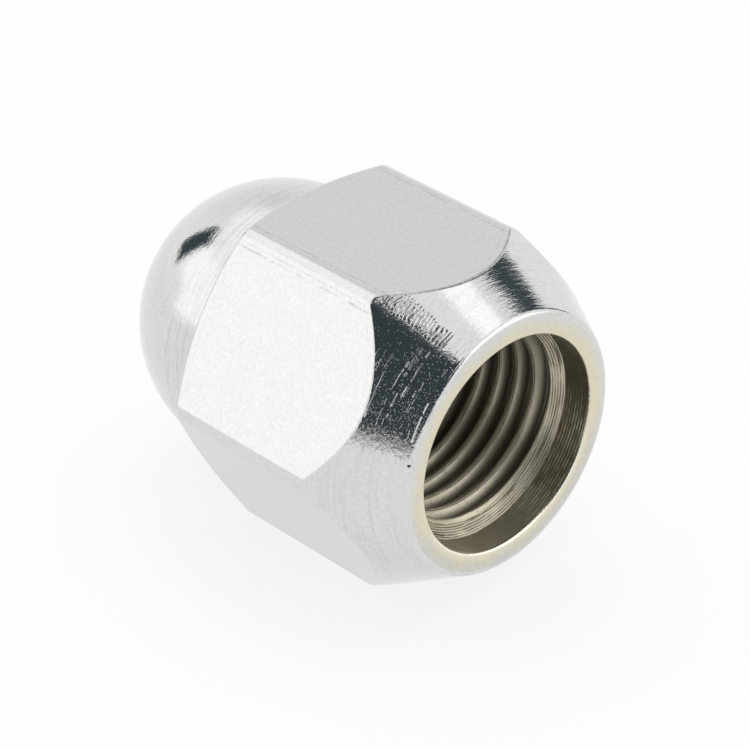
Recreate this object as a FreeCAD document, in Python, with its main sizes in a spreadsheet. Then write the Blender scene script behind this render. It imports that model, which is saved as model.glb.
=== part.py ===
import FreeCAD, Part
import math
import os
import Sketcher

# Lug nut: a closed-end wheel nut in one piece, with a 60 degree conical seat, a hexagon and a domed cap.
# It lies on one flat of its hexagon. The thread axis runs along X, the open mouth faces +X,
# the floor is at Z = 0, and the origin is under the middle of the nut.

NODE = "lug_nut"

# Driving dimensions: name, value in millimetres (degrees for the angles), what it is
DIMENSIONS = [
    ("across_flats", 21.0, "wrench size of the hexagon"),
    ("corner_round", 1.0, "rounding of the six long corners"),
    ("hex_length", 17.9, "mouth to the shoulder behind the hexagon"),
    ("back_angle", 30.0, "slope of the chamfer behind the hexagon"),
    ("shoulder_ledge", 0.8, "width of the shoulder between dome and chamfer"),
    ("dome_step", 1.275, "from a flat in to the side of the dome"),
    ("dome_band", 2.0, "straight length of the dome before it curves"),
    ("dome_root_round", 0.6, "hollow rounding where the dome meets the shoulder"),
    ("closed_end_wall", 4.4, "metal between the drill point and the top of the dome"),
    ("thread_diameter", 14.0, "nominal diameter of the thread"),
    ("thread_pitch", 1.5, "pitch of the thread"),
    ("drill_point_angle", 118.0, "included angle at the bottom of the hole"),
    ("lead_angle", 90.0, "included angle of the lead-in chamfer"),
    ("counterbore_clearance", 0.2, "from the thread's nominal radius out to the counterbore"),
    ("counterbore_depth", 2.05, "mouth to the lead-in chamfer"),
    ("mouth_ring_width", 1.5, "counterbore out to the seat cone at the mouth"),
    ("seat_angle", 60.0, "included angle of the conical seat"),
    ("ring_outer_round", 0.45, "rounding of the mouth ring's outer edge"),
    ("ring_inner_round", 0.2, "rounding of the mouth ring's inner edge"),
    ("front_border_round", 0.5, "rounding where the flats and corners meet the seat"),
    ("back_border_round", 0.3, "rounding where the flats and corners meet the back chamfer"),
    ("cut_margin", 1.0, "how far a cut runs on past the metal"),
]

# Sizes that follow from them, as radii about the thread axis and depths behind the mouth
HALF_FLATS = "(sizes.across_flats / 2)"
CUT_RADIUS = f"({HALF_FLATS} / cos(30 deg) + sizes.cut_margin)"
DOME_RADIUS = f"({HALF_FLATS} - sizes.dome_step)"
CHAMFER_RADIUS = f"({DOME_RADIUS} + sizes.shoulder_ledge)"
COUNTERBORE_RADIUS = "(sizes.thread_diameter / 2 + sizes.counterbore_clearance)"
SEAT_RADIUS = f"({COUNTERBORE_RADIUS} + sizes.mouth_ring_width)"
# In a 60 degree metric nut thread the crests stand 5/8 of the sharp height in from the nominal radius
CREST_RADIUS = "(sizes.thread_diameter / 2 - 5 / 8 * cos(30 deg) * sizes.thread_pitch)"
SEAT_SLOPE = "tan(sizes.seat_angle * 1 deg / 2)"
BACK_SLOPE = "tan(sizes.back_angle * 1 deg)"
LEAD_SLOPE = "tan(sizes.lead_angle * 1 deg / 2)"
POINT_SLOPE = "tan(sizes.drill_point_angle * 1 deg / 2)"
BALL_CENTRE = "(sizes.hex_length + sizes.dome_band)"
OVERALL_LENGTH = f"({BALL_CENTRE} + {DOME_RADIUS})"
DRILL_TIP = f"({OVERALL_LENGTH} - sizes.closed_end_wall)"

TOLERANCE = 1e-4
START, END, CENTRE = 1, 2, 3
SKETCH_ORIGIN = (-1, START)
SKETCH_X_AXIS = -1

doc = FreeCAD.newDocument(NODE)
sizes = doc.addObject("Spreadsheet::Sheet", "sizes")
for row, (alias, value, meaning) in enumerate(DIMENSIONS, start=1):
    sizes.set(f"A{row}", meaning)
    sizes.set(f"B{row}", str(value))
    sizes.setAlias(f"B{row}", alias)
doc.recompute()

body = doc.addObject("PartDesign::Body", NODE)
body.Label = NODE


def value_of(expression):
    """What an expression on the sheet comes to."""
    return float(sizes.evalExpression(expression))


def new_sketch(name, role):
    """An empty sketch on the body's own origin plane with this role."""
    sketch = body.newObject("Sketcher::SketchObject", name)
    plane = next(item for item in body.Origin.OriginFeatures if item.Role == role)
    sketch.AttachmentSupport = [(plane, "")]
    sketch.MapMode = "FlatFace"
    return sketch


def bind(sketch, constraint, expression):
    """Add a constraint whose value follows the sheet."""
    index = sketch.addConstraint(constraint)
    sketch.setExpression(f"Constraints[{index}]", expression)


def hold(sketch, geometry, point, depth, radius):
    """Hold a point at a depth behind the mouth and a radius from the thread axis; "0" is on the axis."""
    far, near = (geometry, point), SKETCH_ORIGIN
    if value_of(depth) < 0:
        far, near, depth = near, far, f"-({depth})"
    bind(sketch, Sketcher.Constraint("DistanceX", *far, *near, value_of(depth)), depth)
    if radius == "0":
        sketch.addConstraint(Sketcher.Constraint("PointOnObject", geometry, point, SKETCH_X_AXIS))
    else:
        above_axis = Sketcher.Constraint("DistanceY", *SKETCH_ORIGIN, geometry, point, value_of(radius))
        bind(sketch, above_axis, radius)


def join_lines(sketch, points):
    """Draw straight lines through the points and back to the first."""
    lines = []
    for start, end in zip(points, points[1:] + points[:1]):
        lines.append(sketch.addGeometry(Part.LineSegment(start, end), False))
    for line, following in zip(lines, lines[1:] + lines[:1]):
        sketch.addConstraint(Sketcher.Constraint("Coincident", line, END, following, START))
    return lines


def turned_outline(name, corners):
    """A closed straight-sided outline on the XZ plane; each corner is its depth and its radius."""
    sketch = new_sketch(name, "XZ_Plane")
    points = [FreeCAD.Vector(-value_of(depth), value_of(radius), 0) for depth, radius in corners]
    for line, (depth, radius) in zip(join_lines(sketch, points), corners):
        hold(sketch, line, START, depth, radius)
    return sketch


def turned(kind, name, sketch):
    """Revolve a sketch about the thread axis, as added metal or as a cut."""
    feature = body.newObject(kind, name)
    feature.Profile = sketch
    feature.ReferenceAxis = (sketch, ["H_Axis"])
    feature.Angle = 360.0
    sketch.Visibility = False
    doc.recompute()
    return feature


def rounded(name, edges, radius):
    """Round the named edges of the body's latest feature by a radius that follows the sheet."""
    base = body.Tip
    feature = body.newObject("PartDesign::Fillet", name)
    feature.Base = (base, edges)
    feature.setExpression("Radius", radius)
    doc.recompute()


def long_edges(shape):
    """The edges that run along the hexagon."""
    names = []
    for number, edge in enumerate(shape.Edges, start=1):
        run = edge.Vertexes[-1].Point - edge.Vertexes[0].Point
        if abs(run.x) > TOLERANCE:
            names.append(f"Edge{number}")
    return names


def circle_edges(shape, depth, radius):
    """The circles about the thread axis at this depth and radius."""
    names = []
    for number, edge in enumerate(shape.Edges, start=1):
        if edge.Degenerated or not isinstance(edge.Curve, Part.Circle):
            continue
        centre = edge.Curve.Center
        off_centre = math.hypot(centre.x + value_of(depth), centre.y, centre.z)
        if off_centre < TOLERANCE and abs(edge.Curve.Radius - value_of(radius)) < TOLERANCE:
            names.append(f"Edge{number}")
    return names


def border_edges(shape, shallowest, deepest):
    """The edges between the hexagon and a turned slope, within a band of depths."""
    names = []
    for number, edge in enumerate(shape.Edges, start=1):
        if edge.Degenerated:
            continue
        points = edge.discretize(5)
        in_band = all(shallowest < -point.x < deepest for point in points)
        on_outside = all(math.hypot(point.y, point.z) > value_of(HALF_FLATS) - TOLERANCE for point in points)
        if in_band and on_outside:
            names.append(f"Edge{number}")
    return names


# Hexagon: a regular outline with a flat at the top and the bottom and a corner at each side
hex_sketch = new_sketch("hex_outline", "YZ_Plane")
corner_radius = value_of(HALF_FLATS) / math.cos(math.radians(30))
corners = []
for turn in range(0, 360, 60):
    angle = math.radians(turn)
    corners.append(FreeCAD.Vector(corner_radius * math.cos(angle), corner_radius * math.sin(angle), 0))
sides = join_lines(hex_sketch, corners)
corner_circle = hex_sketch.addGeometry(
    Part.Circle(FreeCAD.Vector(0, 0, 0), FreeCAD.Vector(0, 0, 1), corner_radius), True)
hex_sketch.addConstraint(Sketcher.Constraint("Coincident", corner_circle, CENTRE, *SKETCH_ORIGIN))
for side in sides:
    hex_sketch.addConstraint(Sketcher.Constraint("PointOnObject", side, START, corner_circle))
for side in sides[1:]:
    hex_sketch.addConstraint(Sketcher.Constraint("Equal", sides[0], side))
top_side = sides[1]
hex_sketch.addConstraint(Sketcher.Constraint("Horizontal", top_side))
bind(hex_sketch, Sketcher.Constraint("Distance", *SKETCH_ORIGIN, top_side, value_of(HALF_FLATS)), HALF_FLATS)

hexagon = body.newObject("PartDesign::Pad", "hexagon")
hexagon.Profile = hex_sketch
hexagon.Reversed = True
hexagon.setExpression("Length", "sizes.hex_length")
hex_sketch.Visibility = False
doc.recompute()
rounded("long_corners", long_edges(hexagon.Shape), "sizes.corner_round")

# Conical seat: turned off the front of the hexagon
seat_sketch = turned_outline("seat_outline", [
    ("-sizes.cut_margin", f"{SEAT_RADIUS} - sizes.cut_margin * {SEAT_SLOPE}"),
    ("-sizes.cut_margin", CUT_RADIUS),
    (f"({CUT_RADIUS} - {SEAT_RADIUS}) / {SEAT_SLOPE}", CUT_RADIUS),
])
turned("PartDesign::Groove", "conical_seat", seat_sketch)

# Back chamfer: turned off the six corners behind the hexagon
back_sketch = turned_outline("back_outline", [
    ("sizes.hex_length", CHAMFER_RADIUS),
    (f"sizes.hex_length - ({CUT_RADIUS} - {CHAMFER_RADIUS}) * {BACK_SLOPE}", CUT_RADIUS),
    ("sizes.hex_length + sizes.cut_margin", CUT_RADIUS),
    ("sizes.hex_length + sizes.cut_margin", CHAMFER_RADIUS),
])
turned("PartDesign::Groove", "back_chamfer", back_sketch)

# Dome: a short straight band and a half ball, solid with the hexagon
dome_sketch = new_sketch("dome_outline", "XZ_Plane")
shoulder = FreeCAD.Vector(-value_of("sizes.hex_length"), 0, 0)
ball_centre = FreeCAD.Vector(-value_of(BALL_CENTRE), 0, 0)
ball_top = FreeCAD.Vector(-value_of(OVERALL_LENGTH), 0, 0)
side_step = FreeCAD.Vector(0, value_of(DOME_RADIUS), 0)
ball_circle = Part.Circle(ball_centre, FreeCAD.Vector(0, 0, 1), value_of(DOME_RADIUS))
root = dome_sketch.addGeometry(Part.LineSegment(shoulder, shoulder + side_step), False)
band = dome_sketch.addGeometry(Part.LineSegment(shoulder + side_step, ball_centre + side_step), False)
ball = dome_sketch.addGeometry(Part.ArcOfCircle(ball_circle, math.radians(90), math.radians(180)), False)
core = dome_sketch.addGeometry(Part.LineSegment(ball_top, shoulder), False)
dome_sketch.addConstraint(Sketcher.Constraint("Coincident", root, END, band, START))
dome_sketch.addConstraint(Sketcher.Constraint("Coincident", band, END, ball, START))
dome_sketch.addConstraint(Sketcher.Constraint("Coincident", ball, END, core, START))
dome_sketch.addConstraint(Sketcher.Constraint("Coincident", core, END, root, START))
dome_sketch.addConstraint(Sketcher.Constraint("PointOnObject", core, START, SKETCH_X_AXIS))
hold(dome_sketch, root, START, "sizes.hex_length", "0")
hold(dome_sketch, band, START, "sizes.hex_length", DOME_RADIUS)
hold(dome_sketch, ball, START, BALL_CENTRE, DOME_RADIUS)
hold(dome_sketch, ball, CENTRE, BALL_CENTRE, "0")
dome = turned("PartDesign::Revolution", "dome", dome_sketch)
root_edges = circle_edges(dome.Shape, "sizes.hex_length", DOME_RADIUS)
rounded("dome_root", root_edges, "min(sizes.dome_root_round; sizes.shoulder_ledge * 0.95)")

# Hole: counterbore, lead-in chamfer, thread core at the crest diameter and drill point
hole_sketch = turned_outline("hole_outline", [
    ("-sizes.cut_margin", "0"),
    ("-sizes.cut_margin", COUNTERBORE_RADIUS),
    ("sizes.counterbore_depth", COUNTERBORE_RADIUS),
    (f"sizes.counterbore_depth + ({COUNTERBORE_RADIUS} - {CREST_RADIUS}) / {LEAD_SLOPE}", CREST_RADIUS),
    (f"{DRILL_TIP} - {CREST_RADIUS} / {POINT_SLOPE}", CREST_RADIUS),
    (DRILL_TIP, "0"),
])
turned("PartDesign::Groove", "stud_hole", hole_sketch)

# Mouth ring: both of its edges are rounded, the outer one by no more than the seat cone allows
outer_edge = circle_edges(body.Tip.Shape, "0", SEAT_RADIUS)
rounded("ring_outer_edge", outer_edge, f"min(sizes.ring_outer_round; {HALF_FLATS} - {SEAT_RADIUS})")
inner_edge = circle_edges(body.Tip.Shape, "0", COUNTERBORE_RADIUS)
rounded("ring_inner_edge", inner_edge, "sizes.ring_inner_round")

# Borders of the six flats: rounded against the seat and against the back chamfer
hex_end = value_of("sizes.hex_length")
front_edges = border_edges(body.Tip.Shape, 0.0, hex_end / 2)
rounded("front_border", front_edges, "sizes.front_border_round")
back_edges = border_edges(body.Tip.Shape, hex_end / 2, hex_end)
rounded("back_border", back_edges, "sizes.back_border_round")

# The nut is set down on its lower flat, with the origin under the middle of its length
body.setExpression("Placement.Base.x", f"{OVERALL_LENGTH} / 2")
body.setExpression("Placement.Base.z", HALF_FLATS)
doc.recompute()

for item in doc.Objects:
    if "Invalid" in item.State or "Error" in item.State:
        raise RuntimeError(f"{item.Name} failed: {item.State}")
if body.Shape.isNull() or not body.Shape.isValid():
    raise RuntimeError("the nut has no valid shape")
if len(body.Shape.Solids) != 1:
    raise RuntimeError(f"the nut is {len(body.Shape.Solids)} solids, not one")

os.makedirs("parts", exist_ok=True)
body.Shape.exportStep(f"parts/{body.Label}.step")
box = body.Shape.optimalBoundingBox()
print(f"box {box.XLength:.3f} x {box.YLength:.3f} x {box.ZLength:.3f} mm, lowest point {box.ZMin:.3f}")
centre = body.Shape.Solids[0].CenterOfMass
print(f"volume {body.Shape.Volume:.1f} cubic mm, centre of mass {centre.x:.3f} {centre.y:.3f} {centre.z:.3f}")
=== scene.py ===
import math
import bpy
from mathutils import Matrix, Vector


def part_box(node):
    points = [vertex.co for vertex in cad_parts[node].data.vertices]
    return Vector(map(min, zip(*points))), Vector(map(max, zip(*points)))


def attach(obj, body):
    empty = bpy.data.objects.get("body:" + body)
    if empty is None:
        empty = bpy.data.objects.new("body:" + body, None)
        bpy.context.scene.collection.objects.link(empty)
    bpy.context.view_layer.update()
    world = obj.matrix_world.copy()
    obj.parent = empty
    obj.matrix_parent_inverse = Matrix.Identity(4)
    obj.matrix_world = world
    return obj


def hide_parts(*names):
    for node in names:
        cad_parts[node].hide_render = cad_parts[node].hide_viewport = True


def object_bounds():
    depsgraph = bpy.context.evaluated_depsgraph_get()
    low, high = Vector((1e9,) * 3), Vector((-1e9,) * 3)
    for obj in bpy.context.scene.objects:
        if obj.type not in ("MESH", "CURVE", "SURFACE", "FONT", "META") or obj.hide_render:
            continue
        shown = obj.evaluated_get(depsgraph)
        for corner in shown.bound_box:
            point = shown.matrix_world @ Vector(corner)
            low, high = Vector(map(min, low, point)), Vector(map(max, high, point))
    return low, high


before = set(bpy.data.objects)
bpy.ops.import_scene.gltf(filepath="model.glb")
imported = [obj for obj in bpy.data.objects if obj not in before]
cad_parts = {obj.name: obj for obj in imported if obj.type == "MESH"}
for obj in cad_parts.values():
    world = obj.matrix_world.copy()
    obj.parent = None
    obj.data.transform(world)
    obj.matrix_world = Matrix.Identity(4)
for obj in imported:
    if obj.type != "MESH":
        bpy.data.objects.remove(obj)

from types import SimpleNamespace

import bpy
from bpy.props import FloatProperty, FloatVectorProperty, IntProperty, PointerProperty
from mathutils import Vector

bl_info = {
    "name": "Chrome lug nut",
    "version": (1, 0, 0),
    "blender": (4, 5, 0),
    "location": "View3D > Sidebar > Lug Nut",
    "description": "Makes a chrome plated lug nut on a white studio floor",
    "category": "Object",
}

# The nut lies on one flat of its hexagon. Its thread axis runs along X and its mouth faces +X.
# Depth is measured from the mouth into the nut, and radius from the thread axis.

BODY = "root"
CAD_NODE = "lug_nut"
PIECE = "plated_nut"
CAD_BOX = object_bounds()

# What the nut's tree writes on each face and point, for its materials
FINISH = "finish"
TURNING = "turning"
PLATED, WORN, BARE, TAPPED = range(4)

# Millimetres in a metre, the turn from one corner of the hexagon to the next, and the share of a side's
# columns that goes to each half of a rounded corner
MM = 1000
SIDE_TURN = math.radians(60)
CORNER_SHARE = 0.125

# The thread's profile in shares of the pitch: its depth, and from the middle of the crest to the crest's
# edge, to the end of its rounding, to the edge of the groove, and to the seam that the tap left
THREAD_DEPTH = 5 / 8 * math.cos(math.radians(30))
CREST_EDGE, BLEND_END, GROOVE_EDGE = 1 / 8, 0.22, 7 / 16
SEAM_OFFSET = 0.085

# Edges of neighbouring strips that lie closer than this, in metres, are one edge
WELD_GAP = 2e-6

# Marks in the plate, in millimetres from the middle of the thread axis and in turns round it: deep tool
# lines at the dome's foot, where the tool chattered on the seat, the seat's scuffed side, a nick along
# the mouth ring's edge and a dent beside it
DOME_FOOT_PLACE = -4.4
CHATTER_PLACE = 11.3
CHATTER_TURN = 0.321
SCUFFED_TURN = 0.385
RING_NICK_RADIUS = 8.87
RING_NICK_TURN = 0.412
RING_DENT_SPOT = (14.5, -8.5, 2.28)

# Millimetres from one tool line to the next
CHATTER_SPACING = 0.2
BORE_LINE_SPACING = 0.22
RIDGE_SPACING = 0.115

# Heights of the marks in the metal, in metres: on the turned plate, on the flats, on the mouth ring,
# in the counterbore and in the tapped hole
TOOL_LINES, CHATTER, SKIN, SCRATCHES, SPECKS = 6e-6, 1.3e-5, 1.0e-5, 3e-5, 1.2e-5
RING_NICK, RING_DENT = 3e-5, 6e-5
FORGED, PITS, RUBBED = 1.1e-5, 6e-6, -8e-6
RING_LINES, RING_GRAIN = 8e-6, 1.6e-5
BORE_LINES = 3e-5
RIDGES, SEAM, SCUFFS, DENTS = 2e-5, -4e-5, 1.6e-5, 1.6e-5

# Bare steel isn't quite all metal, because oil and rust lie on it
BARE_METALLIC = 0.7

# The floor: how white the camera sees it, how its level drops to a painted shadow in the nut's
# reflections from the far to the near distance (metres), and how much of what the reflections see is that
# even level
FLOOR_WHITE = 0.995
FLOOR_NEAR, FLOOR_FAR, FLOOR_SHADOW_LEVEL = 0.009, 0.02, 0.88
FLOOR_EVEN_SHARE = 0.8

SENSOR_WIDTH = 36.0

# Cards round the nut that only its reflections show: name, distance (metres), compass angle and height
# of the middle, width, height (degrees), strength, share of the card that fades out at its edges, tint
WHITE = (1.0, 1.0, 1.0)
SLATE = (0.74, 0.95, 1.12)
REFLECTION_CARDS = [
    ("back scrim", 1.4, -128, 20, 64, 44, 0.93, 0.6, WHITE),
    ("top scrim", 1.3, -138, 34, 36, 28, 0.87, 0.7, WHITE),
    ("left softbox", 1.2, -42, 23, 30, 44, 1.3, 0.3, WHITE),
    ("side softbox", 1.2, -63, 28, 24, 32, 1.3, 0.5, WHITE),
    ("upper softbox", 1.2, -84, 50, 58, 22, 1.2, 0.5, WHITE),
    ("high softbox", 1.2, 146, 62, 26, 17, 1.36, 0.5, WHITE),
    ("right softbox", 1.2, 125, 13, 52, 66, 1.4, 0.2, WHITE),
    ("low bounce", 0.03, -130, -24, 60, 24, 1.3, 0.8, WHITE),
    ("left flag", 1.0, -84, 23, 14, 27, 0.07, 0.05, SLATE),
    ("camera flag", 1.0, 33, 37, 64, 64, 0.062, 0.06, SLATE),
    ("near flag", 1.05, 78, 14, 36, 46, 0.07, 0.15, SLATE),
    ("low flag", 1.1, 33, 1, 64, 11, 0.4, 0.4, WHITE),
    ("back flag", 1.0, 177, 35, 10, 74, 0.075, 0.08, SLATE),
    ("ceiling flag", 0.9, 20, 80, 26, 26, 0.08, 0.2, SLATE),
]


def length(name, millimetres, description):
    """A size of the nut, given in millimetres and kept in metres."""
    return FloatProperty(
        name=name, description=description, default=millimetres / MM,
        min=0.0, precision=5, subtype="DISTANCE", unit="LENGTH",
    )


def angle(name, degrees, description):
    """An angle, given in degrees and kept in radians."""
    return FloatProperty(
        name=name, description=description, default=math.radians(degrees),
        subtype="ANGLE", unit="ROTATION",
    )


def share(name, value, description):
    """A plain number from 0 to 1."""
    return FloatProperty(
        name=name, description=description, default=value, min=0.0, max=1.0, subtype="FACTOR",
    )


def light_strength(name, value, description):
    """How strong a light is."""
    return FloatProperty(name=name, description=description, default=value, min=0.0)


def count(name, value, description):
    """How many rows or columns of faces."""
    return IntProperty(name=name, description=description, default=value, min=8)


def colour(name, value, description):
    """A linear colour."""
    return FloatVectorProperty(
        name=name, description=description, default=value, size=3, min=0.0, max=1.0, subtype="COLOR",
    )


class NutSizes(bpy.types.PropertyGroup):
    """Real sizes of the nut."""

    across_flats: length("Across flats", 21.0, "Wrench size of the hexagon")
    corner_round: length("Corner round", 1.0, "Rounding of the six long corners")
    hex_length: length("Hexagon end", 17.9, "Mouth to the shoulder behind the hexagon")
    back_angle: angle("Back angle", 30.0, "Slope of the chamfer behind the hexagon")
    shoulder_ledge: length("Shoulder ledge", 0.8, "Width of the shoulder between dome and chamfer")
    dome_step: length("Dome step", 1.275, "From a flat in to the side of the dome")
    dome_band: length("Dome band", 2.0, "Straight length of the dome before it curves")
    dome_root_round: length("Dome root round", 0.6, "Hollow rounding where the dome meets the shoulder")
    closed_end_wall: length("Closed end wall", 4.4, "Metal from the drill point to the dome's top")
    thread_diameter: length("Thread diameter", 14.0, "Nominal diameter of the thread")
    thread_pitch: length("Thread pitch", 1.5, "Pitch of the thread")
    thread_start: angle("Thread start", 170.4, "How far round the axis the thread is turned")
    drill_point_angle: angle("Drill point angle", 118.0, "Included angle at the bottom of the hole")
    lead_angle: angle("Lead angle", 90.0, "Included angle of the lead-in chamfer")
    counterbore_clearance: length("Counterbore clearance", 0.2, "Thread's radius out to the counterbore")
    counterbore_depth: length("Counterbore depth", 2.05, "Mouth to the lead-in chamfer")
    mouth_ring_width: length("Mouth ring width", 1.5, "Counterbore out to the seat cone at the mouth")
    seat_angle: angle("Seat angle", 60.0, "Included angle of the conical seat")
    ring_outer_round: length("Ring outer round", 0.45, "Rounding of the mouth ring's outer edge")
    ring_inner_round: length("Ring inner round", 0.2, "Rounding of the mouth ring's inner edge")
    front_border_round: length("Front border round", 0.5, "Rounding where the flats meet the seat")
    back_border_round: length("Back border round", 0.3, "Rounding where the flats meet the back chamfer")


class NutDetail(bpy.types.PropertyGroup):
    """How finely the nut's mesh is divided."""

    side_columns: count("Columns a side", 32, "Columns of faces on each of the six sides")
    turn_rows: count("Rows a turn", 16, "Rows of faces in each turn of the thread")


class NutFinish(bpy.types.PropertyGroup):
    """Colours and roughness of the nut's metal."""

    chrome: colour("Chrome", (0.716, 0.722, 0.706), "Reflection colour of the chrome plate")
    ring: colour("Mouth ring", (0.76, 0.71, 0.55), "Reflection colour of the ring's thin plate")
    bore: colour("Bore", (0.80, 0.74, 0.54), "Reflection colour of the bare counterbore")
    lead_in: colour("Lead-in", (0.88, 0.82, 0.63), "Reflection colour of the bare lead-in chamfer")
    crest: colour("Thread crest", (0.81, 0.75, 0.59), "Reflection colour of the thread's crests")
    # Thread root: the colour of painted shade in the thread's roots; the counterbore's wall starts from
    # half of it
    root: colour("Thread root", (0.145, 0.132, 0.098), "Reflection colour of the thread's oily roots")
    chrome_roughness: share("Chrome roughness", 0.07, "Roughness of the chrome plate")
    ring_roughness: share("Ring roughness", 0.30, "Roughness of the mouth ring")
    bore_roughness: share("Bore roughness", 0.42, "Roughness of the bare steel")


class StudioLook(bpy.types.PropertyGroup):
    """The camera, the floor and the light."""

    camera_azimuth: angle("Camera azimuth", 45.57, "Compass angle of the camera about the nut")
    camera_elevation: angle("Camera elevation", 32.56, "Height angle of the camera")
    camera_distance: length("Camera distance", 201.4, "Camera to the point it looks at")
    camera_lens: FloatProperty(
        name="Camera lens", description="Focal length on a 36 mm sensor",
        default=160.2, min=1.0, unit="CAMERA",
    )
    camera_target: FloatVectorProperty(
        name="Camera target", description="Point in the middle of the picture",
        default=(0.00727, -0.00419, 0.01407), size=3, precision=5, subtype="XYZ", unit="LENGTH",
    )
    floor_width: length("Floor width", 6000.0, "Side of the square floor")
    floor_colour: colour("Floor colour", (0.22, 0.22, 0.22), "Colour of the floor")
    floor_in_chrome: share("Floor in chrome", 0.95, "How strongly the nut's reflections show the floor")
    sky_strength: light_strength("Sky strength", 0.7, "Strength of the plain world light")
    lamp_strength: light_strength("Lamp strength", 0.75, "Strength of the wide soft lamp")


class Value:
    """An output socket that takes part in arithmetic; every operation adds its own node."""

    def __init__(self, socket):
        self.socket = socket
        self.tree = socket.id_data

    def __add__(self, other):
        return maths("ADD", self, other)

    def __sub__(self, other):
        return maths("SUBTRACT", self, other)

    def __mul__(self, other):
        return maths("MULTIPLY", self, other)

    def __truediv__(self, other):
        return maths("DIVIDE", self, other)

    def __rsub__(self, other):
        return maths("SUBTRACT", other, self)

    __radd__ = __add__
    __rmul__ = __mul__


def fill(socket, value):
    """Link a Value into a socket, or set the socket to a plain value."""
    if isinstance(value, Value):
        value.tree.links.new(value.socket, socket)
    else:
        socket.default_value = value


def add_node(tree, kind, inputs=None, **settings):
    """Add a node, choose its settings and fill its named inputs. Returns its outputs by name."""
    node = tree.nodes.new(kind)
    for setting, value in settings.items():
        setattr(node, setting, value)
    for name, value in (inputs or {}).items():
        fill(next(s for s in node.inputs if s.name == name and s.enabled), value)
    return {s.name: Value(s) for s in reversed(node.outputs) if s.enabled}


def maths(operation, *terms, kind="ShaderNodeMath"):
    """One Math node."""
    tree = next(term.tree for term in terms if isinstance(term, Value))
    node = tree.nodes.new(kind)
    node.operation = operation
    for socket, term in zip([s for s in node.inputs if s.enabled], terms):
        fill(socket, term)
    return Value(next(s for s in node.outputs if s.enabled))


def vector_maths(operation, *terms):
    """One Vector Math node."""
    return maths(operation, *terms, kind="ShaderNodeVectorMath")


def ramp(value, low, high, out_low=0.0, out_high=1.0, shape="LINEAR"):
    """Map a value from one range to another and hold it at the ends."""
    inputs = {"Value": value, "From Min": low, "From Max": high, "To Min": out_low, "To Max": out_high}
    settings = {"interpolation_type": shape, "clamp": True}
    return add_node(value.tree, "ShaderNodeMapRange", inputs, **settings)["Result"]


def vector(tree, x=0.0, y=0.0, z=0.0):
    """A vector from its three parts."""
    return add_node(tree, "ShaderNodeCombineXYZ", {"X": x, "Y": y, "Z": z})["Vector"]


def parts_of(value):
    """The three parts of a vector."""
    parts = add_node(value.tree, "ShaderNodeSeparateXYZ", {"Vector": value})
    return parts["X"], parts["Y"], parts["Z"]


def between(start, end, along):
    """The point that lies this share of the way from start to end."""
    inputs = {"A": start, "B": end, "Factor": along}
    settings = {"data_type": "VECTOR", "clamp_factor": False}
    return add_node(start.tree, "ShaderNodeMix", inputs, **settings)["Result"]


def chain(geometry, kind, inputs=None, **settings):
    """Pass a mesh on through one more geometry node."""
    outputs = add_node(geometry.tree, kind, {"Geometry": geometry, **(inputs or {})}, **settings)
    return outputs["Geometry"]


def name_inputs(tree, group):
    """Give the tree an input for each size in a property group. Returns the inputs' names."""
    names = {}
    for key in type(group).__annotations__:
        rna = group.bl_rna.properties[key]
        kind = "NodeSocketInt" if rna.type == "INT" else "NodeSocketFloat"
        socket = tree.interface.new_socket(
            rna.name, description=rna.description, in_out="INPUT", socket_type=kind,
        )
        if rna.type == "FLOAT":
            socket.subtype = rna.subtype
        socket.default_value = rna.default
        names[key] = rna.name
    return names


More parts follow.
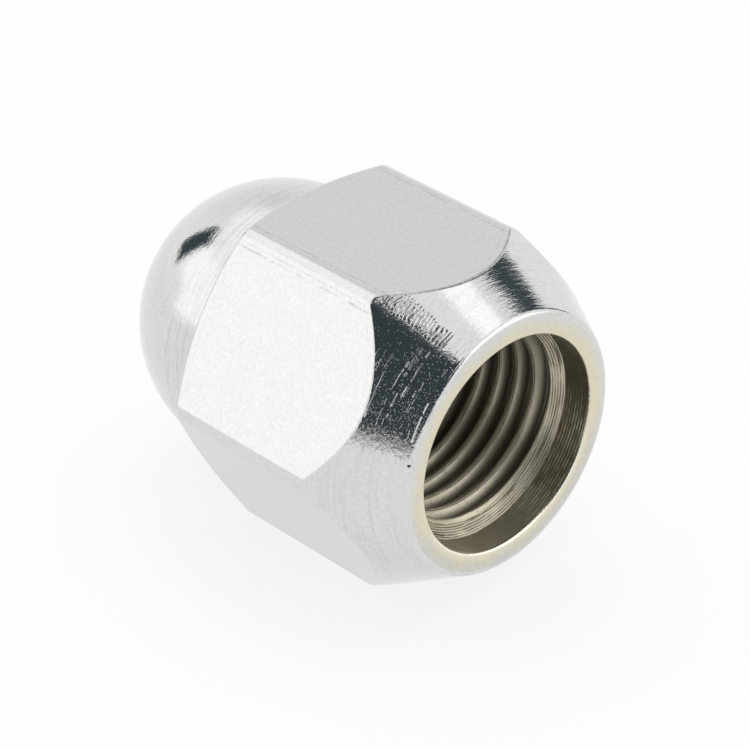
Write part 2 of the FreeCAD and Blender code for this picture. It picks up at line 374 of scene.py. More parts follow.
def nut_tree(sizes, detail, materials):
    """The tree that makes the nut. It lays strips of faces out flat, as depth, radius and turn,
    from the top of the dome over the outside, round the mouth and down the hole, then rolls them up."""
    tree = bpy.data.node_groups.new("nut_from_its_sizes", "GeometryNodeTree")
    names = {**name_inputs(tree, sizes), **name_inputs(tree, detail)}
    for name in materials:
        tree.interface.new_socket(name, in_out="INPUT", socket_type="NodeSocketMaterial")
    tree.interface.new_socket("Nut", in_out="OUTPUT", socket_type="NodeSocketGeometry")
    given = add_node(tree, "NodeGroupInput")
    size = SimpleNamespace(**{key: given[name] for key, name in names.items()})

    half_flats = size.across_flats / 2
    dome_radius = half_flats - size.dome_step
    chamfer_radius = dome_radius + size.shoulder_ledge
    root_radius = size.thread_diameter / 2
    crest_radius = root_radius - size.thread_pitch * THREAD_DEPTH
    counterbore_radius = root_radius + size.counterbore_clearance
    seat_radius = counterbore_radius + size.mouth_ring_width
    ball_centre = size.hex_length + size.dome_band
    overall_length = ball_centre + dome_radius
    drill_tip = overall_length - size.closed_end_wall
    seat_half = size.seat_angle / 2
    seat_slope = maths("TANGENT", seat_half)
    lead_slope = maths("TANGENT", size.lead_angle / 2)
    back_slope = maths("TANGENT", size.back_angle)
    core_end = drill_tip - crest_radius / maths("TANGENT", size.drill_point_angle / 2)

    # Each strip is a square grid one unit wide: u goes once round the axis, v runs along the strip
    u, v, _ = parts_of(add_node(tree, "GeometryNodeInputPosition")["Position"])
    u, v = u + 0.5, v + 0.5
    v_crowded = 0.5 - 0.5 * maths("COSINE", v * math.pi)

    # Columns crowd on the six rounded corners, which the flats' planes touch this far from each corner
    corner_centre = (half_flats - size.corner_round) / math.cos(SIDE_TURN / 2)
    corner_reach = SIDE_TURN / 2 - maths("ARCTAN2", corner_centre / 2, half_flats)
    side = maths("FRACT", u * 6)
    across = ramp(side, CORNER_SHARE, 1 - CORNER_SHARE)
    across = 0.5 - 0.5 * maths("COSINE", across * math.pi)
    from_corner = corner_reach * (ramp(side, 0.0, CORNER_SHARE) + ramp(side, 1 - CORNER_SHARE, 1.0))
    from_corner = from_corner + (SIDE_TURN - corner_reach * 2) * across
    turn = maths("FLOOR", u * 6) * SIDE_TURN + from_corner

    # Radius of the rounded hexagon at each column
    to_corner = maths("MINIMUM", from_corner, SIDE_TURN - from_corner)
    on_plane = half_flats / maths("COSINE", SIDE_TURN / 2 - to_corner)
    sideways = corner_centre * maths("SINE", to_corner)
    left_of_round = size.corner_round * size.corner_round - sideways * sideways
    on_round = maths("SQRT", maths("MAXIMUM", left_of_round, 0.0))
    on_round = corner_centre * maths("COSINE", to_corner) + on_round
    is_plane = maths("GREATER_THAN", to_corner, corner_reach)
    hexagon = on_round + (on_plane - on_round) * is_plane

    def point(depth, radius):
        return vector(tree, depth, radius)

    def noted(mesh, name, value, **settings):
        """A mesh with one more number on its points or faces."""
        return chain(mesh, "GeometryNodeStoreNamedAttribute", {"Name": name, "Value": value}, **settings)

    def grid(rows, place, turning, finish):
        """One strip of faces, laid out flat."""
        columns = size.side_columns * 6
        inputs = {"Size X": 1.0, "Size Y": 1.0, "Vertices X": columns + 1, "Vertices Y": rows + 1}
        mesh = add_node(tree, "GeometryNodeMeshGrid", inputs)["Mesh"]
        mesh = noted(mesh, TURNING, turning, data_type="FLOAT", domain="POINT")
        mesh = noted(mesh, FINISH, finish, data_type="INT", domain="FACE")
        flat = vector_maths("ADD", place, vector(tree, z=turn))
        return chain(mesh, "GeometryNodeSetPosition", {"Position": flat})

    def straight(rows, start, end, turning=0.0, finish=PLATED):
        return grid(rows, between(start, end, v_crowded), turning, finish)

    def rounded(rows, start, corner, end, turning=0.0, finish=PLATED):
        curve = between(between(start, corner, v), between(corner, end, v), v)
        return grid(rows, curve, turning, finish)

    # The outline's corners, and the points where their roundings begin and end
    shoulder = point(size.hex_length, chamfer_radius)
    back_depth = size.hex_length - (hexagon - chamfer_radius) * back_slope
    back_cut = size.back_border_round * maths("TANGENT", (math.radians(90) - size.back_angle) / 2)
    back_corner = point(back_depth, hexagon)
    back_start = point(
        back_depth + back_cut * maths("SINE", size.back_angle),
        hexagon - back_cut * maths("COSINE", size.back_angle),
    )
    back_end = point(back_depth - back_cut, hexagon)
    front_depth = (hexagon - seat_radius) / seat_slope
    front_cut = size.front_border_round * maths("TANGENT", seat_half / 2)
    front_corner = point(front_depth, hexagon)
    front_start = point(front_depth + front_cut, hexagon)
    front_end = point(
        front_depth - front_cut * maths("COSINE", seat_half),
        hexagon - front_cut * maths("SINE", seat_half),
    )
    ring_cut = size.ring_outer_round * maths("TANGENT", (math.radians(90) - seat_half) / 2)
    ring_start = point(
        ring_cut * maths("COSINE", seat_half),
        seat_radius + ring_cut * maths("SINE", seat_half),
    )
    ring_end = point(0.0, seat_radius - ring_cut)
    mouth_start = point(0.0, counterbore_radius + size.ring_inner_round)
    mouth_end = point(size.ring_inner_round, counterbore_radius)
    bore_end = point(size.counterbore_depth, counterbore_radius)

    rise = (1.0 - v) * math.radians(90)
    ball = point(ball_centre + dome_radius * maths("SINE", rise), dome_radius * maths("COSINE", rise))
    root_top = point(size.hex_length + size.dome_root_round, dome_radius)
    root_foot = point(size.hex_length, dome_radius + size.dome_root_round)
    outside = [
        grid(40, ball, ramp(v, 0.55, 0.9), PLATED),
        straight(6, point(ball_centre, dome_radius), root_top, 1.0),
        rounded(8, root_top, point(size.hex_length, dome_radius), root_foot, 1.0),
        straight(2, root_foot, shoulder, 1.0),
        straight(6, shoulder, back_start, 1.0),
        rounded(6, back_start, back_corner, back_end, 1.0 - v),
        straight(12, back_end, front_start),
        rounded(6, front_start, front_corner, front_end, v),
        straight(20, front_end, ring_start, 1.0),
        rounded(8, ring_start, point(0.0, seat_radius), ring_end, 1.0),
    ]
    mouth = [
        straight(6, ring_end, mouth_start, 1.0, WORN),
        rounded(6, mouth_start, point(0.0, counterbore_radius), mouth_end, 1.0, WORN),
        straight(10, mouth_end, bore_end, 0.0, BARE),
    ]

    # The tapped hole: rows follow the helix, in step with the middle of its crest, and the lead-in
    # chamfer cuts the first turn. The crest is rounded as far as its blend into the straight flanks,
    # and its middle lies a little deeper than the seam, from which the thread's start is measured
    tap_turns = (core_end - size.counterbore_depth) / size.thread_pitch
    tap_rows = maths("CEIL", tap_turns + 2) * size.turn_rows
    helix = size.thread_pitch / math.tau
    start = size.thread_start / math.tau - SEAM_OFFSET
    first_row = maths("FLOOR", (size.counterbore_depth / size.thread_pitch + start) * size.turn_rows)
    depth = ((first_row + maths("ROUND", v * tap_rows)) / size.turn_rows - start) * size.thread_pitch
    depth = depth - turn * helix
    depth = maths("MINIMUM", maths("MAXIMUM", depth, size.counterbore_depth), core_end)
    phase = maths("FRACT", (depth + turn * helix) / size.thread_pitch + start)
    from_crest = 0.5 - maths("ABSOLUTE", phase - 0.5)
    steep, half_blend = 1 / (GROOVE_EDGE - CREST_EDGE), BLEND_END - CREST_EDGE
    rounding = ramp(from_crest, BLEND_END - 2 * half_blend, BLEND_END)
    rounding = rounding * rounding * (steep * half_blend)
    straight_flank = ramp(from_crest, BLEND_END, GROOVE_EDGE, 0.0, steep * (GROOVE_EDGE - BLEND_END))
    runout = ramp(depth, core_end - size.thread_pitch * 2, core_end - size.thread_pitch / 2, 1.0, 0.0)
    groove = (rounding + straight_flank) * runout
    tapped = crest_radius + (root_radius - crest_radius) * groove
    lead_in = counterbore_radius - (depth - size.counterbore_depth) * lead_slope
    is_lead = maths("GREATER_THAN", lead_in, tapped)
    hole = [
        grid(tap_rows, point(depth, maths("MAXIMUM", tapped, lead_in)), is_lead, TAPPED),
        straight(4, point(core_end, crest_radius), point(drill_tip, 0.0), 0.0, TAPPED),
    ]

    # Join the strips, roll them up about the axis and weld their edges
    join = tree.nodes.new("GeometryNodeJoinGeometry")
    for strip in reversed(outside + mouth + hole):
        tree.links.new(strip.socket, join.inputs["Geometry"])
    depth, radius, turn_back = parts_of(add_node(tree, "GeometryNodeInputPosition")["Position"])
    rolled = vector(
        tree,
        overall_length / 2 - depth,
        radius * maths("COSINE", turn_back),
        half_flats + radius * maths("SINE", turn_back),
    )
    nut = chain(Value(join.outputs["Geometry"]), "GeometryNodeSetPosition", {"Position": rolled})
    nut = chain(nut, "GeometryNodeMergeByDistance", {"Distance": WELD_GAP})
    nut = chain(nut, "GeometryNodeSetShadeSmooth", {"Shade Smooth": True}, domain="FACE")
    nut = chain(nut, "GeometryNodeRealizeInstances")
    finish = add_node(tree, "GeometryNodeInputNamedAttribute", {"Name": FINISH}, data_type="INT")
    for number, name in enumerate(materials):
        wears_it = maths("COMPARE", finish["Attribute"], float(number), 0.1)
        nut = chain(nut, "GeometryNodeSetMaterial", {"Selection": wears_it, "Material": given[name]})
    add_node(tree, "NodeGroupOutput", {"Nut": nut})
    return tree


def plain_mesh(name, tree, inputs):
    """Run a tree on an empty object and keep its result as an ordinary mesh object."""
    blank = bpy.data.objects.new(name + "_blank", bpy.data.meshes.new(name + "_blank"))
    bpy.context.scene.collection.objects.link(blank)
    modifier = blank.modifiers.new("Shape", "NODES")
    modifier.node_group = tree
    for item in tree.interface.items_tree:
        if item.in_out == "INPUT":
            modifier[item.identifier] = inputs[item.name]
    graph = bpy.context.evaluated_depsgraph_get()
    mesh = bpy.data.meshes.new_from_object(blank.evaluated_get(graph), depsgraph=graph)
    bpy.data.objects.remove(blank)
    if not mesh.polygons:
        raise RuntimeError(f"the tree of {name} gave no faces")
    mesh.name = name
    piece = bpy.data.objects.new(name, mesh)
    bpy.context.scene.collection.objects.link(piece)
    return piece


def blank_material(name):
    """A material whose tree is still empty. Returns it with its tree."""
    material = bpy.data.materials.new(name)
    material.use_nodes = True
    material.node_tree.nodes.clear()
    return material, material.node_tree


def new_metal(name, colour_value, roughness, metallic=1.0):
    """A material with a metal shader. Returns it with its tree, its shader and its coordinates:
    millimetres from the middle of the thread axis."""
    material, tree = blank_material(name)
    shader = tree.nodes.new("ShaderNodeBsdfPrincipled")
    shader.inputs["Base Color"].default_value = (*colour_value, 1.0)
    shader.inputs["Metallic"].default_value = metallic
    shader.inputs["Roughness"].default_value = roughness
    output = tree.nodes.new("ShaderNodeOutputMaterial")
    tree.links.new(shader.outputs["BSDF"], output.inputs["Surface"])
    axis_height = bpy.context.scene.nut_sizes.across_flats / 2 * MM
    place = add_node(tree, "ShaderNodeTexCoord")["Object"]
    inputs = {"Vector": place, "Location": (0.0, 0.0, -axis_height), "Scale": (MM, MM, MM)}
    return material, tree, shader, add_node(tree, "ShaderNodeMapping", inputs)["Vector"]


def noise(place, scale, detail=2.0, roughness=0.5):
    """Noise from 0 to 1 with this many features to the millimetre."""
    inputs = {"Vector": place, "Scale": scale, "Detail": detail, "Roughness": roughness}
    return add_node(place.tree, "ShaderNodeTexNoise", inputs)["Fac"]


def from_axis(place):
    """How far a point lies from the thread axis, in millimetres."""
    _, y, z = parts_of(place)
    return maths("SQRT", y * y + z * z + 1e-6)


def turns_round(place):
    """How far round the axis a point lies, from -0.5 to 0.5 of a turn."""
    _, y, z = parts_of(place)
    return maths("ARCTAN2", z, y) / math.tau


def behind_mouth(place):
    """How deep behind the mouth a point lies, in millimetres."""
    x, _, _ = parts_of(place)
    return CAD_BOX[1][0] * MM - x


def bore_radius(sizes):
    """The counterbore's radius in millimetres."""
    return (sizes.thread_diameter / 2 + sizes.counterbore_clearance) * MM


def within(gap, near, far):
    """1 where a gap either way is smaller than near, down to 0 where it reaches far."""
    return ramp(maths("ABSOLUTE", gap), near, far, 1.0, 0.0)


def line_at(gap, width):
    """1 where a gap is nought, down to 0 at half this width on either side."""
    return within(gap, 0.0, width / 2)


def side_border(place, sizes):
    """How far a point of a flat lies from the rounding of the nearest long corner, in millimetres."""
    half = (sizes.across_flats / 2 - sizes.corner_round) * math.tan(SIDE_TURN / 2) * MM
    aside = (maths("FRACT", turns_round(place) * 6 + 6) - 0.5) * SIDE_TURN
    return half - maths("ABSOLUTE", maths("SINE", aside) * from_axis(place))


def end_border(place, sizes):
    """How far a point of a flat lies from the seat or from the back chamfer, in millimetres
    along the axis."""
    radius, depth = from_axis(place), behind_mouth(place)
    seat_radius = bore_radius(sizes) + sizes.mouth_ring_width * MM
    shoulder_radius = sizes.across_flats / 2 - sizes.dome_step + sizes.shoulder_ledge
    seat = (radius - seat_radius) / math.tan(sizes.seat_angle / 2)
    chamfer = sizes.hex_length * MM - (radius - shoulder_radius * MM) * math.tan(sizes.back_angle)
    return maths("MINIMUM", depth - seat, chamfer - depth)


def round_the_axis(place, along, around):
    """Coordinates whose noise runs in lines round the axis: features to the millimetre along it,
    and features to the radian around it."""
    x, y, z = parts_of(place)
    radius = from_axis(place)
    return vector(place.tree, x * along, y / radius * around, z / radius * around)


def bump(pattern, height, below=None):
    """Marks of this height in metres, over the marks of an earlier bump."""
    inputs = {"Height": pattern, "Distance": height, "Strength": 1.0}
    if below is not None:
        inputs["Normal"] = below
    return add_node(pattern.tree, "ShaderNodeBump", inputs)["Normal"]


def blend(first, second, share_of_second):
    """One colour turning into another."""
    inputs = {"Factor": share_of_second}
    for name, part in (("A", first), ("B", second)):
        inputs[name] = part if isinstance(part, Value) else (*part, 1.0)
    return add_node(share_of_second.tree, "ShaderNodeMix", inputs, data_type="RGBA")["Result"]


def shade(colour_value, amount):
    """A colour at a share of its own brightness."""
    return tuple(part * amount for part in colour_value)


def mark(tree, name):
    """A number that the nut's tree has left on its points."""
    return add_node(tree, "ShaderNodeAttribute", attribute_name=name, attribute_type="GEOMETRY")["Fac"]


def chrome_plate(finish):
    """Bright chrome over forged flats and a turned seat, with tool lines, scratches and pits."""
    material, tree, shader, place = new_metal("chrome_plate", finish.chrome, finish.chrome_roughness)
    sizes = bpy.context.scene.nut_sizes
    x, _, z = parts_of(place)
    turn = turns_round(place)
    turned = mark(tree, TURNING)
    flat = 1.0 - turned
    scuffed = within(turn - SCUFFED_TURN, 0.065, 0.075) * ramp(x, 7.0, 8.0)

    # Tool lines, deepest in patches and at the foot of the dome
    patches = ramp(noise(place, 0.3), 0.35, 0.65, 0.4, 1.1)
    dome_foot = within(x - DOME_FOOT_PLACE, 1.0, 2.2)
    lines = noise(round_the_axis(place, 6.5, 2.6), 1.0, 3.0, 0.65)
    normal = bump(lines * turned * (patches + dome_foot), TOOL_LINES)

    # A strip across the seat where the tool chattered
    ragged = (noise(place, 1.8, 3.0, 0.6) - 0.5) * 0.012
    strip = within(turn - CHATTER_TURN + ragged, 0.007, 0.0105) * within(x - CHATTER_PLACE, 1.5, 2.1)
    bends = noise(round_the_axis(place, 1.2, 10.0), 1.0, 2.0)
    chatter = maths("SINE", (x / CHATTER_SPACING + bends * 2.0) * math.tau) * strip
    normal = bump(chatter, CHATTER, normal)

    # A rough skin on the turned metal, roughest low on the scuffed side of the seat, which also has
    # scratches along the turning and fine specks
    skin = noise(round_the_axis(place, 6.0, 30.0), 1.0, 3.0, 0.6)
    roughest = ramp(z, 10.0, 6.0, 0.5, 1.0) + scuffed * ramp(z, 5.5, 4.5, 0.0, 1.2)
    normal = bump(skin * turned * roughest, SKIN, normal)
    scratches = ramp(noise(round_the_axis(place, 8.0, 2.4), 1.0, 2.0), 0.62, 0.65)
    scratches = scratches * ramp(z, 8.5, 6.5) * ramp(noise(place, 2.2), 0.46, 0.5) * turned * scuffed
    normal = bump(scratches, SCRATCHES, normal)
    dust = noise(round_the_axis(place, 13.0, 80.0), 1.0, 1.0)
    specks = maths("GREATER_THAN", dust, ramp(z, 10.5, 5.0, 0.74, 0.63)) * turned * scuffed
    normal = bump(specks, SPECKS, normal)

    # Two pressed marks beside the mouth ring
    nick = line_at(from_axis(place) - RING_NICK_RADIUS, 0.08)
    nick = nick * ramp(line_at(turn - RING_NICK_TURN, 0.066), 0.1, 0.2)
    nick = nick * ramp(noise(place, 2.2), 0.42, 0.47) * scuffed
    normal = bump(nick, RING_NICK, normal)
    dent = ramp(vector_maths("DISTANCE", place, RING_DENT_SPOT), 0.05, 0.24, 1.0, 0.0)
    normal = bump(dent, RING_DENT, normal)
    frosted = maths("MAXIMUM", maths("MAXIMUM", specks, scratches), nick)
    fill(shader.inputs["Roughness"], finish.chrome_roughness + frosted * 0.3)

    # The forged flats: a soft ripple, a few pits, and rubbed lines beside their borders, which are
    # strongest along the upper long corners
    normal = bump(noise(place, 0.8, 4.0, 0.6), FORGED, normal)
    pits = ramp(noise(place, 2.6, 1.0), 0.20, 0.25)
    normal = bump(pits * flat, PITS, normal)
    side, end = side_border(place, sizes), end_border(place, sizes)
    wavy = (noise(place, 0.9, 3.0) - 0.5) * 0.3
    high_up = ramp(z, 3.0, 8.0)
    rubbed = line_at(side + wavy - 0.3, 0.22) * (0.2 + high_up) + line_at(end + wavy - 0.55, 0.16) * 0.5
    rubbed = rubbed * ramp(noise(place, 1.0, 3.0) + high_up * 0.12, 0.42, 0.6)
    rubbed = rubbed + line_at(side + wavy * 0.2, 0.12) * high_up
    rubbed = rubbed * ramp(noise(place, 5.0), 0.36, 0.6) * flat
    fill(shader.inputs["Normal"], bump(rubbed, RUBBED, normal))

    # The plate's own grain, duller in the rubbed lines and in the grooves that the tool left, and darker
    # along the border between the topmost flat and the seat
    grain = ramp(noise(place, 4.5, 4.0, 0.8), 0.3, 0.7, 0.90, 1.07)
    dull = 1.0 - rubbed * 0.26 - ramp(lines, 0.5, 0.75) * turned * (0.12 + dome_foot * 0.12)
    topmost = within(turn - 0.25, 0.075, 0.083) * ramp(x, 4.0, 5.0)
    border = turned * flat * 4.0 * topmost * ramp(noise(place, 3.0, 3.0, 0.7), 0.35, 0.6, 0.5, 1.0)
    dull = dull - border * 0.55
    fill(shader.inputs["Base Color"], vector_maths("SCALE", finish.chrome, grain * dull))
    return material


def worn_ring(finish):
    """The mouth ring, where the plate is thin and rubbed to a warm satin, whiter towards the seat, with a
    painted highlight and painted shade along its inner edge.
    """
    material, _, shader, place = new_metal("worn_ring", finish.ring, finish.ring_roughness)
    clouds = noise(place, 0.6, 3.0, 0.55)
    from_bore = from_axis(place) - bore_radius(bpy.context.scene.nut_sizes)
    ragged = from_bore + (noise(place, 3.5, 3.0, 0.7) - 0.5) * 0.12
    _, _, z = parts_of(place)
    low_down = ramp(z, 0.0, -4.5)

    # Whiter outwards; a painted highlight along the inner edge's lower side, and painted shade along its
    # upper side
    outwards = ramp(from_bore + (clouds - 0.5) * 1.6, 0.4, 1.3)
    inner_edge_highlight = ramp(ragged, 0.14, 0.22, 1.0, 0.0) * low_down
    metal = blend(finish.ring, finish.chrome, maths("MAXIMUM", outwards, inner_edge_highlight * 0.4))
    freckles_and_painted_light = ramp(noise(place, 4.5, 3.0, 0.7), 0.3, 0.7, 0.93, 1.05)
    # Painted light on the lower side: brighter near the bore and along the inner edge, darker further out
    freckles_and_painted_light = freckles_and_painted_light + (ramp(from_bore, 0.7, 0.3, -0.09, 0.05) + inner_edge_highlight * 0.2) * low_down
    # Painted shade along the inner edge's upper side
    freckles_and_painted_light = freckles_and_painted_light - ramp(ragged, 0.02, 0.07, 0.6, 0.0) * (1.0 - low_down)
    fill(shader.inputs["Base Color"], vector_maths("SCALE", metal, freckles_and_painted_light))
    normal = bump(noise(round_the_axis(place, 2.0, 6.0), 1.0, 3.0, 0.6), RING_LINES)
    normal = bump(noise(place, 6.0, 3.0, 0.7), RING_GRAIN, normal)
    fill(shader.inputs["Normal"], normal)
    rough = finish.ring_roughness
    satin = ramp(clouds, 0.3, 0.7, rough - 0.06, rough + 0.08)
    fill(shader.inputs["Roughness"], satin - inner_edge_highlight * 0.16)
    return material


def bare_bore(finish):
    """The counterbore's bare wall with fine tool lines, lighter lower down through painted light."""
    material, _, shader, place = new_metal(
        "bare_bore", finish.bore, finish.bore_roughness, BARE_METALLIC,
    )
    x, _, z = parts_of(place)
    stain = ramp(noise(place, 0.4, 3.0, 0.6), 0.35, 0.65)
    wobble = noise(round_the_axis(place, 1.0, 3.0), 1.0, 2.0)
    lines = maths("SINE", (x / BORE_LINE_SPACING + wobble * 0.3) * math.tau) * 0.5 + 0.5
    bitten = ramp(noise(round_the_axis(place, 3.0, 8.0), 1.0, 3.0, 0.6), 0.38, 0.62, 0.3, 1.0)
    # Painted light: the tool lines show less up the wall, and the bottom of the wall is lightened
    lines = lines * bitten * ramp(z, 1.0, -2.0, 0.15, 1.0) * ramp(z, -6.9, -6.2, 0.2, 1.0)
    tone_and_painted_light = (0.15 + stain * 0.1) + lines * 0.9 + ramp(z, -5.6, -6.9) * 0.35
    fill(shader.inputs["Base Color"], blend(shade(finish.root, 0.5), finish.bore, tone_and_painted_light))
    fill(shader.inputs["Normal"], bump(lines, BORE_LINES))
    return material


def tapped_steel(finish):
    """The thread with painted shade in its roots and on its upper turns, and the ridged chamfer that
    leads into it.
    """
    material, tree, shader, place = new_metal(
        "tapped_steel", finish.crest, finish.bore_roughness, BARE_METALLIC,
    )
    sizes = bpy.context.scene.nut_sizes
    x, _, z = parts_of(place)
    radius = from_axis(place)
    lead_in = mark(tree, TURNING)
    root = sizes.thread_diameter / 2 * MM
    turns_deep = behind_mouth(place) / (sizes.thread_pitch * MM)
    phase = turns_deep + turns_round(place) + sizes.thread_start / math.tau + 1.0
    from_seam = 0.5 - maths("ABSOLUTE", maths("FRACT", phase) - 0.5)

    # Crests in the crest colour with the seam that the tap left along them; darker towards the roots and
    # on the upper side, which is painted shade
    scuffs = noise(round_the_axis(place, 4.0, 7.0), 1.0, 3.0, 0.6)
    # Painted shade: the colour darkens from the crests down into the roots, and on the upper turns of the
    # thread
    painted_crest_light = ramp(radius + (scuffs - 0.5) * 0.12, root, root - 0.85, shape="SMOOTHSTEP")
    painted_crest_light = painted_crest_light * ramp(z, -0.5, -4.7, 0.42, 1.0)
    seam = line_at(from_seam, 0.055) * ramp(radius, root - 0.95, root - 0.85)
    seam = seam * ramp(noise(round_the_axis(place, 0.8, 2.5), 1.0, 2.0), 0.36, 0.5)
    thread = blend(finish.root, finish.crest, painted_crest_light * (1.0 - seam * 0.9))

    # The lead-in's ridges, which fade towards the thread
    wobble = noise(round_the_axis(place, 1.5, 4.0), 1.0, 2.0)
    ridges = maths("SINE", (x / RIDGE_SPACING + wobble * 0.35) * math.tau) * 0.5 + 0.5
    worn = ramp(noise(round_the_axis(place, 3.0, 3.0), 1.0, 2.0), 0.35, 0.55, 0.35, 1.0)
    ridges = ridges * worn * ramp(radius, root - 0.6, root - 0.4, 0.1, 1.0)
    edge = ramp(radius, root - 0.4, root - 0.7, 0.82, 1.0)
    chamfer = blend(shade(finish.lead_in, 0.25), finish.lead_in, edge - ridges * 0.8)
    fill(shader.inputs["Base Color"], blend(thread, chamfer, ramp(lead_in, 0.35, 0.65)))

    normal = bump(ridges * lead_in, RIDGES)
    normal = bump(seam, SEAM, normal)
    normal = bump(scuffs, SCUFFS, normal)
    normal = bump(ramp(noise(place, 3.0, 2.0), 0.62, 0.72), DENTS, normal)
    fill(shader.inputs["Normal"], normal)
    return material


def stage_object(name, mesh, material):
    """An object that belongs to the studio and not to the nut."""
    made = bpy.data.objects.new(name, mesh)
    made.data.materials.append(material)
    bpy.context.scene.collection.objects.link(made)
    return made


def square(name, side):
    """A flat square about its own middle."""
    mesh = bpy.data.meshes.new(name)
    half = side / 2
    corners = [(-half, -half, 0), (half, -half, 0), (half, half, 0), (-half, half, 0)]
    mesh.from_pydata(corners, [], [(0, 1, 2, 3)])
    return mesh


def compass(azimuth, elevation):
    """The unit vector at a compass angle and a height angle, in radians. The compass has its zero
    towards -Y and turns towards +X."""
    level = math.cos(elevation)
    return Vector((math.sin(azimuth) * level, -math.cos(azimuth) * level, math.sin(elevation)))


def glow(tree, strength, tint=WHITE):
    """Even light from a surface."""
    return add_node(tree, "ShaderNodeEmission", {"Color": (*tint, 1.0), "Strength": strength})["Emission"]


def show_mixed(tree, first, second, share_of_second):
    """Show one shader turning into another on a material's surface."""
    mixed = tree.nodes.new("ShaderNodeMixShader")
    for socket, value in zip(mixed.inputs, (share_of_second, first, second)):
        fill(socket, value)
    add_node(tree, "ShaderNodeOutputMaterial", {"Surface": Value(mixed.outputs[0])})


def card_material(name, strength, fade, tint):
    """Even light of one strength that fades out towards the card's edges."""
    material, tree = blank_material(name)
    x, y, _ = parts_of(add_node(tree, "ShaderNodeTexCoord")["Object"])
    edge = maths("MAXIMUM", maths("ABSOLUTE", x), maths("ABSOLUTE", y))
    clear = ramp(edge, 0.5 - fade / 2, 0.5, shape="SMOOTHSTEP")
    gap = add_node(tree, "ShaderNodeBsdfTransparent")["BSDF"]
    show_mixed(tree, glow(tree, strength, tint), gap, clear)
    return material


def seen_directly(tree):
    """1 for rays that see a surface straight, in a reflection or through glass, and 0 for the light
    that falls from it on others."""
    path = add_node(tree, "ShaderNodeLightPath")
    straight = maths("MAXIMUM", path["Is Camera Ray"], path["Is Glossy Ray"])
    return maths("MAXIMUM", straight, path["Is Transmission Ray"])


def build_floor(look):
    """A white floor that keeps the nut's soft shadow. Its own glow, for the camera and reflections only,
    makes up what the light leaves short of white. The nut's reflections see most of it as even light,
    darker beside the nut: a painted shadow."""
    material, tree = blank_material("studio_floor")
    lit = look.floor_colour[0] * (look.sky_strength + look.lamp_strength / math.pi)
    paper = add_node(tree, "ShaderNodeBsdfDiffuse", {"Color": (*look.floor_colour, 1.0)})["BSDF"]
    missing = glow(tree, seen_directly(tree) * max(0.0, FLOOR_WHITE - lit))
    both = tree.nodes.new("ShaderNodeAddShader")
    for socket, value in zip(both.inputs, (paper, missing)):
        fill(socket, value)
    place = add_node(tree, "ShaderNodeTexCoord")["Object"]
    # The nut's reflections see the floor darker beside the nut: a painted shadow
    beside_nut = vector_maths("DISTANCE", place, (0.0, 0.0, 0.0))
    level = ramp(beside_nut, FLOOR_NEAR, FLOOR_FAR, FLOOR_SHADOW_LEVEL, 1.0) * look.floor_in_chrome
    mirrored = add_node(tree, "ShaderNodeLightPath")["Is Glossy Ray"]
    show_mixed(tree, Value(both.outputs[0]), glow(tree, level), mirrored * FLOOR_EVEN_SHARE)
    floor = stage_object("studio_floor", square("studio_floor", look.floor_width), material)
    floor.location.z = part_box(CAD_NODE)[0].z


def build_light(look):
    """A plain white world and one wide soft lamp overhead."""
    world = bpy.data.worlds.new("studio_world")
    world.use_nodes = True
    tree = world.node_tree
    background = tree.nodes["Background"]
    background.inputs["Color"].default_value = (1.0, 1.0, 1.0, 1.0)
    seen = seen_directly(tree)
    fill(background.inputs["Strength"], look.sky_strength + seen * (1.0 - look.sky_strength))
    bpy.context.scene.world = world
    lamp = bpy.data.lights.new("soft_lamp", "SUN")
    lamp.energy = look.lamp_strength
    lamp.angle = math.radians(60)
    overhead = bpy.data.objects.new("soft_lamp", lamp)
    overhead.rotation_euler = (math.radians(-12), math.radians(-10), 0)
    overhead.visible_glossy = False
    bpy.context.scene.collection.objects.link(overhead)


def build_cards():
    """The softboxes, scrims and flags whose reflections shape the chrome."""
    low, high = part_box(CAD_NODE)
    middle = (low + high) / 2
    for name, distance, azimuth, elevation, width, height, strength, fade, tint in REFLECTION_CARDS:
        title = name.replace(" ", "_")
        card = stage_object(title, square(title, 1.0), card_material(title, strength, fade, tint))
        towards = compass(math.radians(azimuth), math.radians(elevation))
        card.location = middle + towards * distance
        card.rotation_euler = towards.to_track_quat("Z", "Y").to_euler()
        spans = [2 * distance * math.tan(math.radians(span) / 2) for span in (width, height)]
        card.scale = (*spans, 1.0)
        card.visible_camera = card.visible_diffuse = card.visible_shadow = False


def build_camera(look):
    """The camera at the photograph's angle."""
    camera = bpy.data.objects.new("photo_camera", bpy.data.cameras.new("photo_camera"))
    camera.data.sensor_width = SENSOR_WIDTH
    camera.data.lens = look.camera_lens
    camera.data.clip_start, camera.data.clip_end = 0.01, 100.0
    back = compass(look.camera_azimuth, look.camera_elevation)
    camera.location = Vector(look.camera_target) + back * look.camera_distance
    camera.rotation_euler = (-back).to_track_quat("-Z", "Y").to_euler()
    bpy.context.scene.collection.objects.link(camera)
    bpy.context.scene.camera = camera


class SCENE_OT_lug_nut_studio(bpy.types.Operator):
    """Set up the white floor, the soft light, the reflection cards and the camera"""

    bl_idname = "scene.lug_nut_studio"
    bl_label = "Build Studio"

    def execute(self, context):
        look = context.scene.nut_studio
        build_floor(look)
        build_light(look)
        build_cards()
        build_camera(look)
        context.scene.view_settings.view_transform = "Standard"
        return {"FINISHED"}


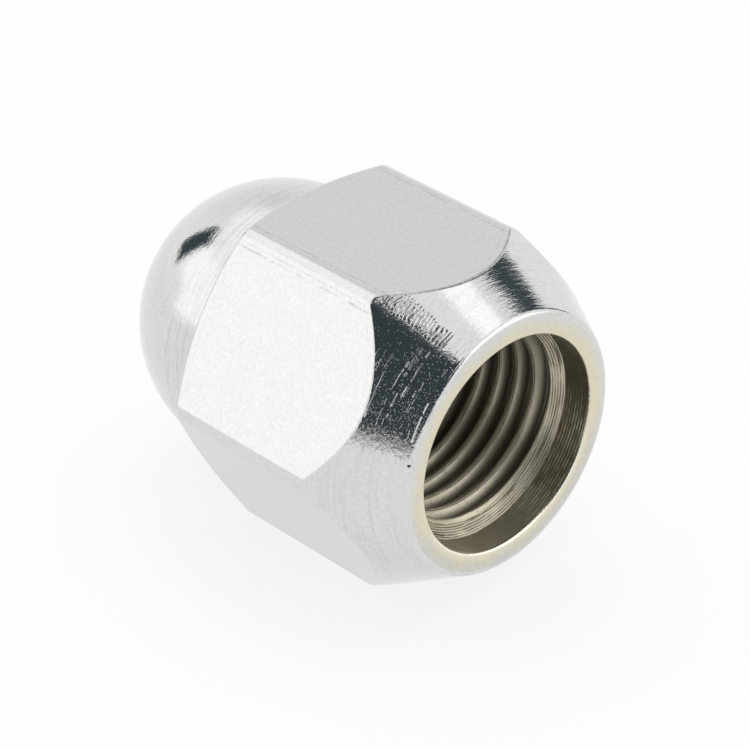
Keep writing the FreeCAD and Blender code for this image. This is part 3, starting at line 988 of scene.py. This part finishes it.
class OBJECT_OT_plated_nut(bpy.types.Operator):
    """Make the plated nut from its sizes, with its thread, and give each part of it its finish"""

    bl_idname = "object.plated_nut"
    bl_label = "Build Plated Nut"

    def execute(self, context):
        scene = context.scene
        finish = scene.nut_finish
        materials = {
            "Plated finish": chrome_plate(finish),
            "Ring finish": worn_ring(finish),
            "Bore finish": bare_bore(finish),
            "Thread finish": tapped_steel(finish),
        }
        inputs = dict(materials)
        for group in (scene.nut_sizes, scene.nut_detail):
            for key in type(group).__annotations__:
                inputs[group.bl_rna.properties[key].name] = getattr(group, key)
        piece = plain_mesh(PIECE, nut_tree(scene.nut_sizes, scene.nut_detail, list(materials)), inputs)
        piece.data.attributes.remove(piece.data.attributes[FINISH])
        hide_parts(CAD_NODE)
        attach(piece, BODY)
        return {"FINISHED"}


class VIEW3D_PT_lug_nut(bpy.types.Panel):
    """Sizes and finish of the nut, and the buttons that build it"""

    bl_idname = "VIEW3D_PT_lug_nut"
    bl_label = "Lug Nut"
    bl_space_type = "VIEW_3D"
    bl_region_type = "UI"
    bl_category = "Lug Nut"

    def draw(self, context):
        layout = self.layout
        scene = context.scene
        layout.operator(SCENE_OT_lug_nut_studio.bl_idname)
        layout.operator(OBJECT_OT_plated_nut.bl_idname)
        for group in (scene.nut_sizes, scene.nut_detail, scene.nut_finish, scene.nut_studio):
            box = layout.box()
            for key in type(group).__annotations__:
                box.prop(group, key)


CLASSES = (
    NutSizes,
    NutDetail,
    NutFinish,
    StudioLook,
    SCENE_OT_lug_nut_studio,
    OBJECT_OT_plated_nut,
    VIEW3D_PT_lug_nut,
)
GROUPS = {
    "nut_sizes": NutSizes,
    "nut_detail": NutDetail,
    "nut_finish": NutFinish,
    "nut_studio": StudioLook,
}


def register():
    for cls in CLASSES:
        bpy.utils.register_class(cls)
    for name, group in GROUPS.items():
        setattr(bpy.types.Scene, name, PointerProperty(type=group))


def unregister():
    for name in GROUPS:
        delattr(bpy.types.Scene, name)
    for cls in reversed(CLASSES):
        bpy.utils.unregister_class(cls)


def main():
    register()
    bpy.ops.scene.lug_nut_studio()
    bpy.ops.object.plated_nut()


if __name__ == "__main__":
    main()
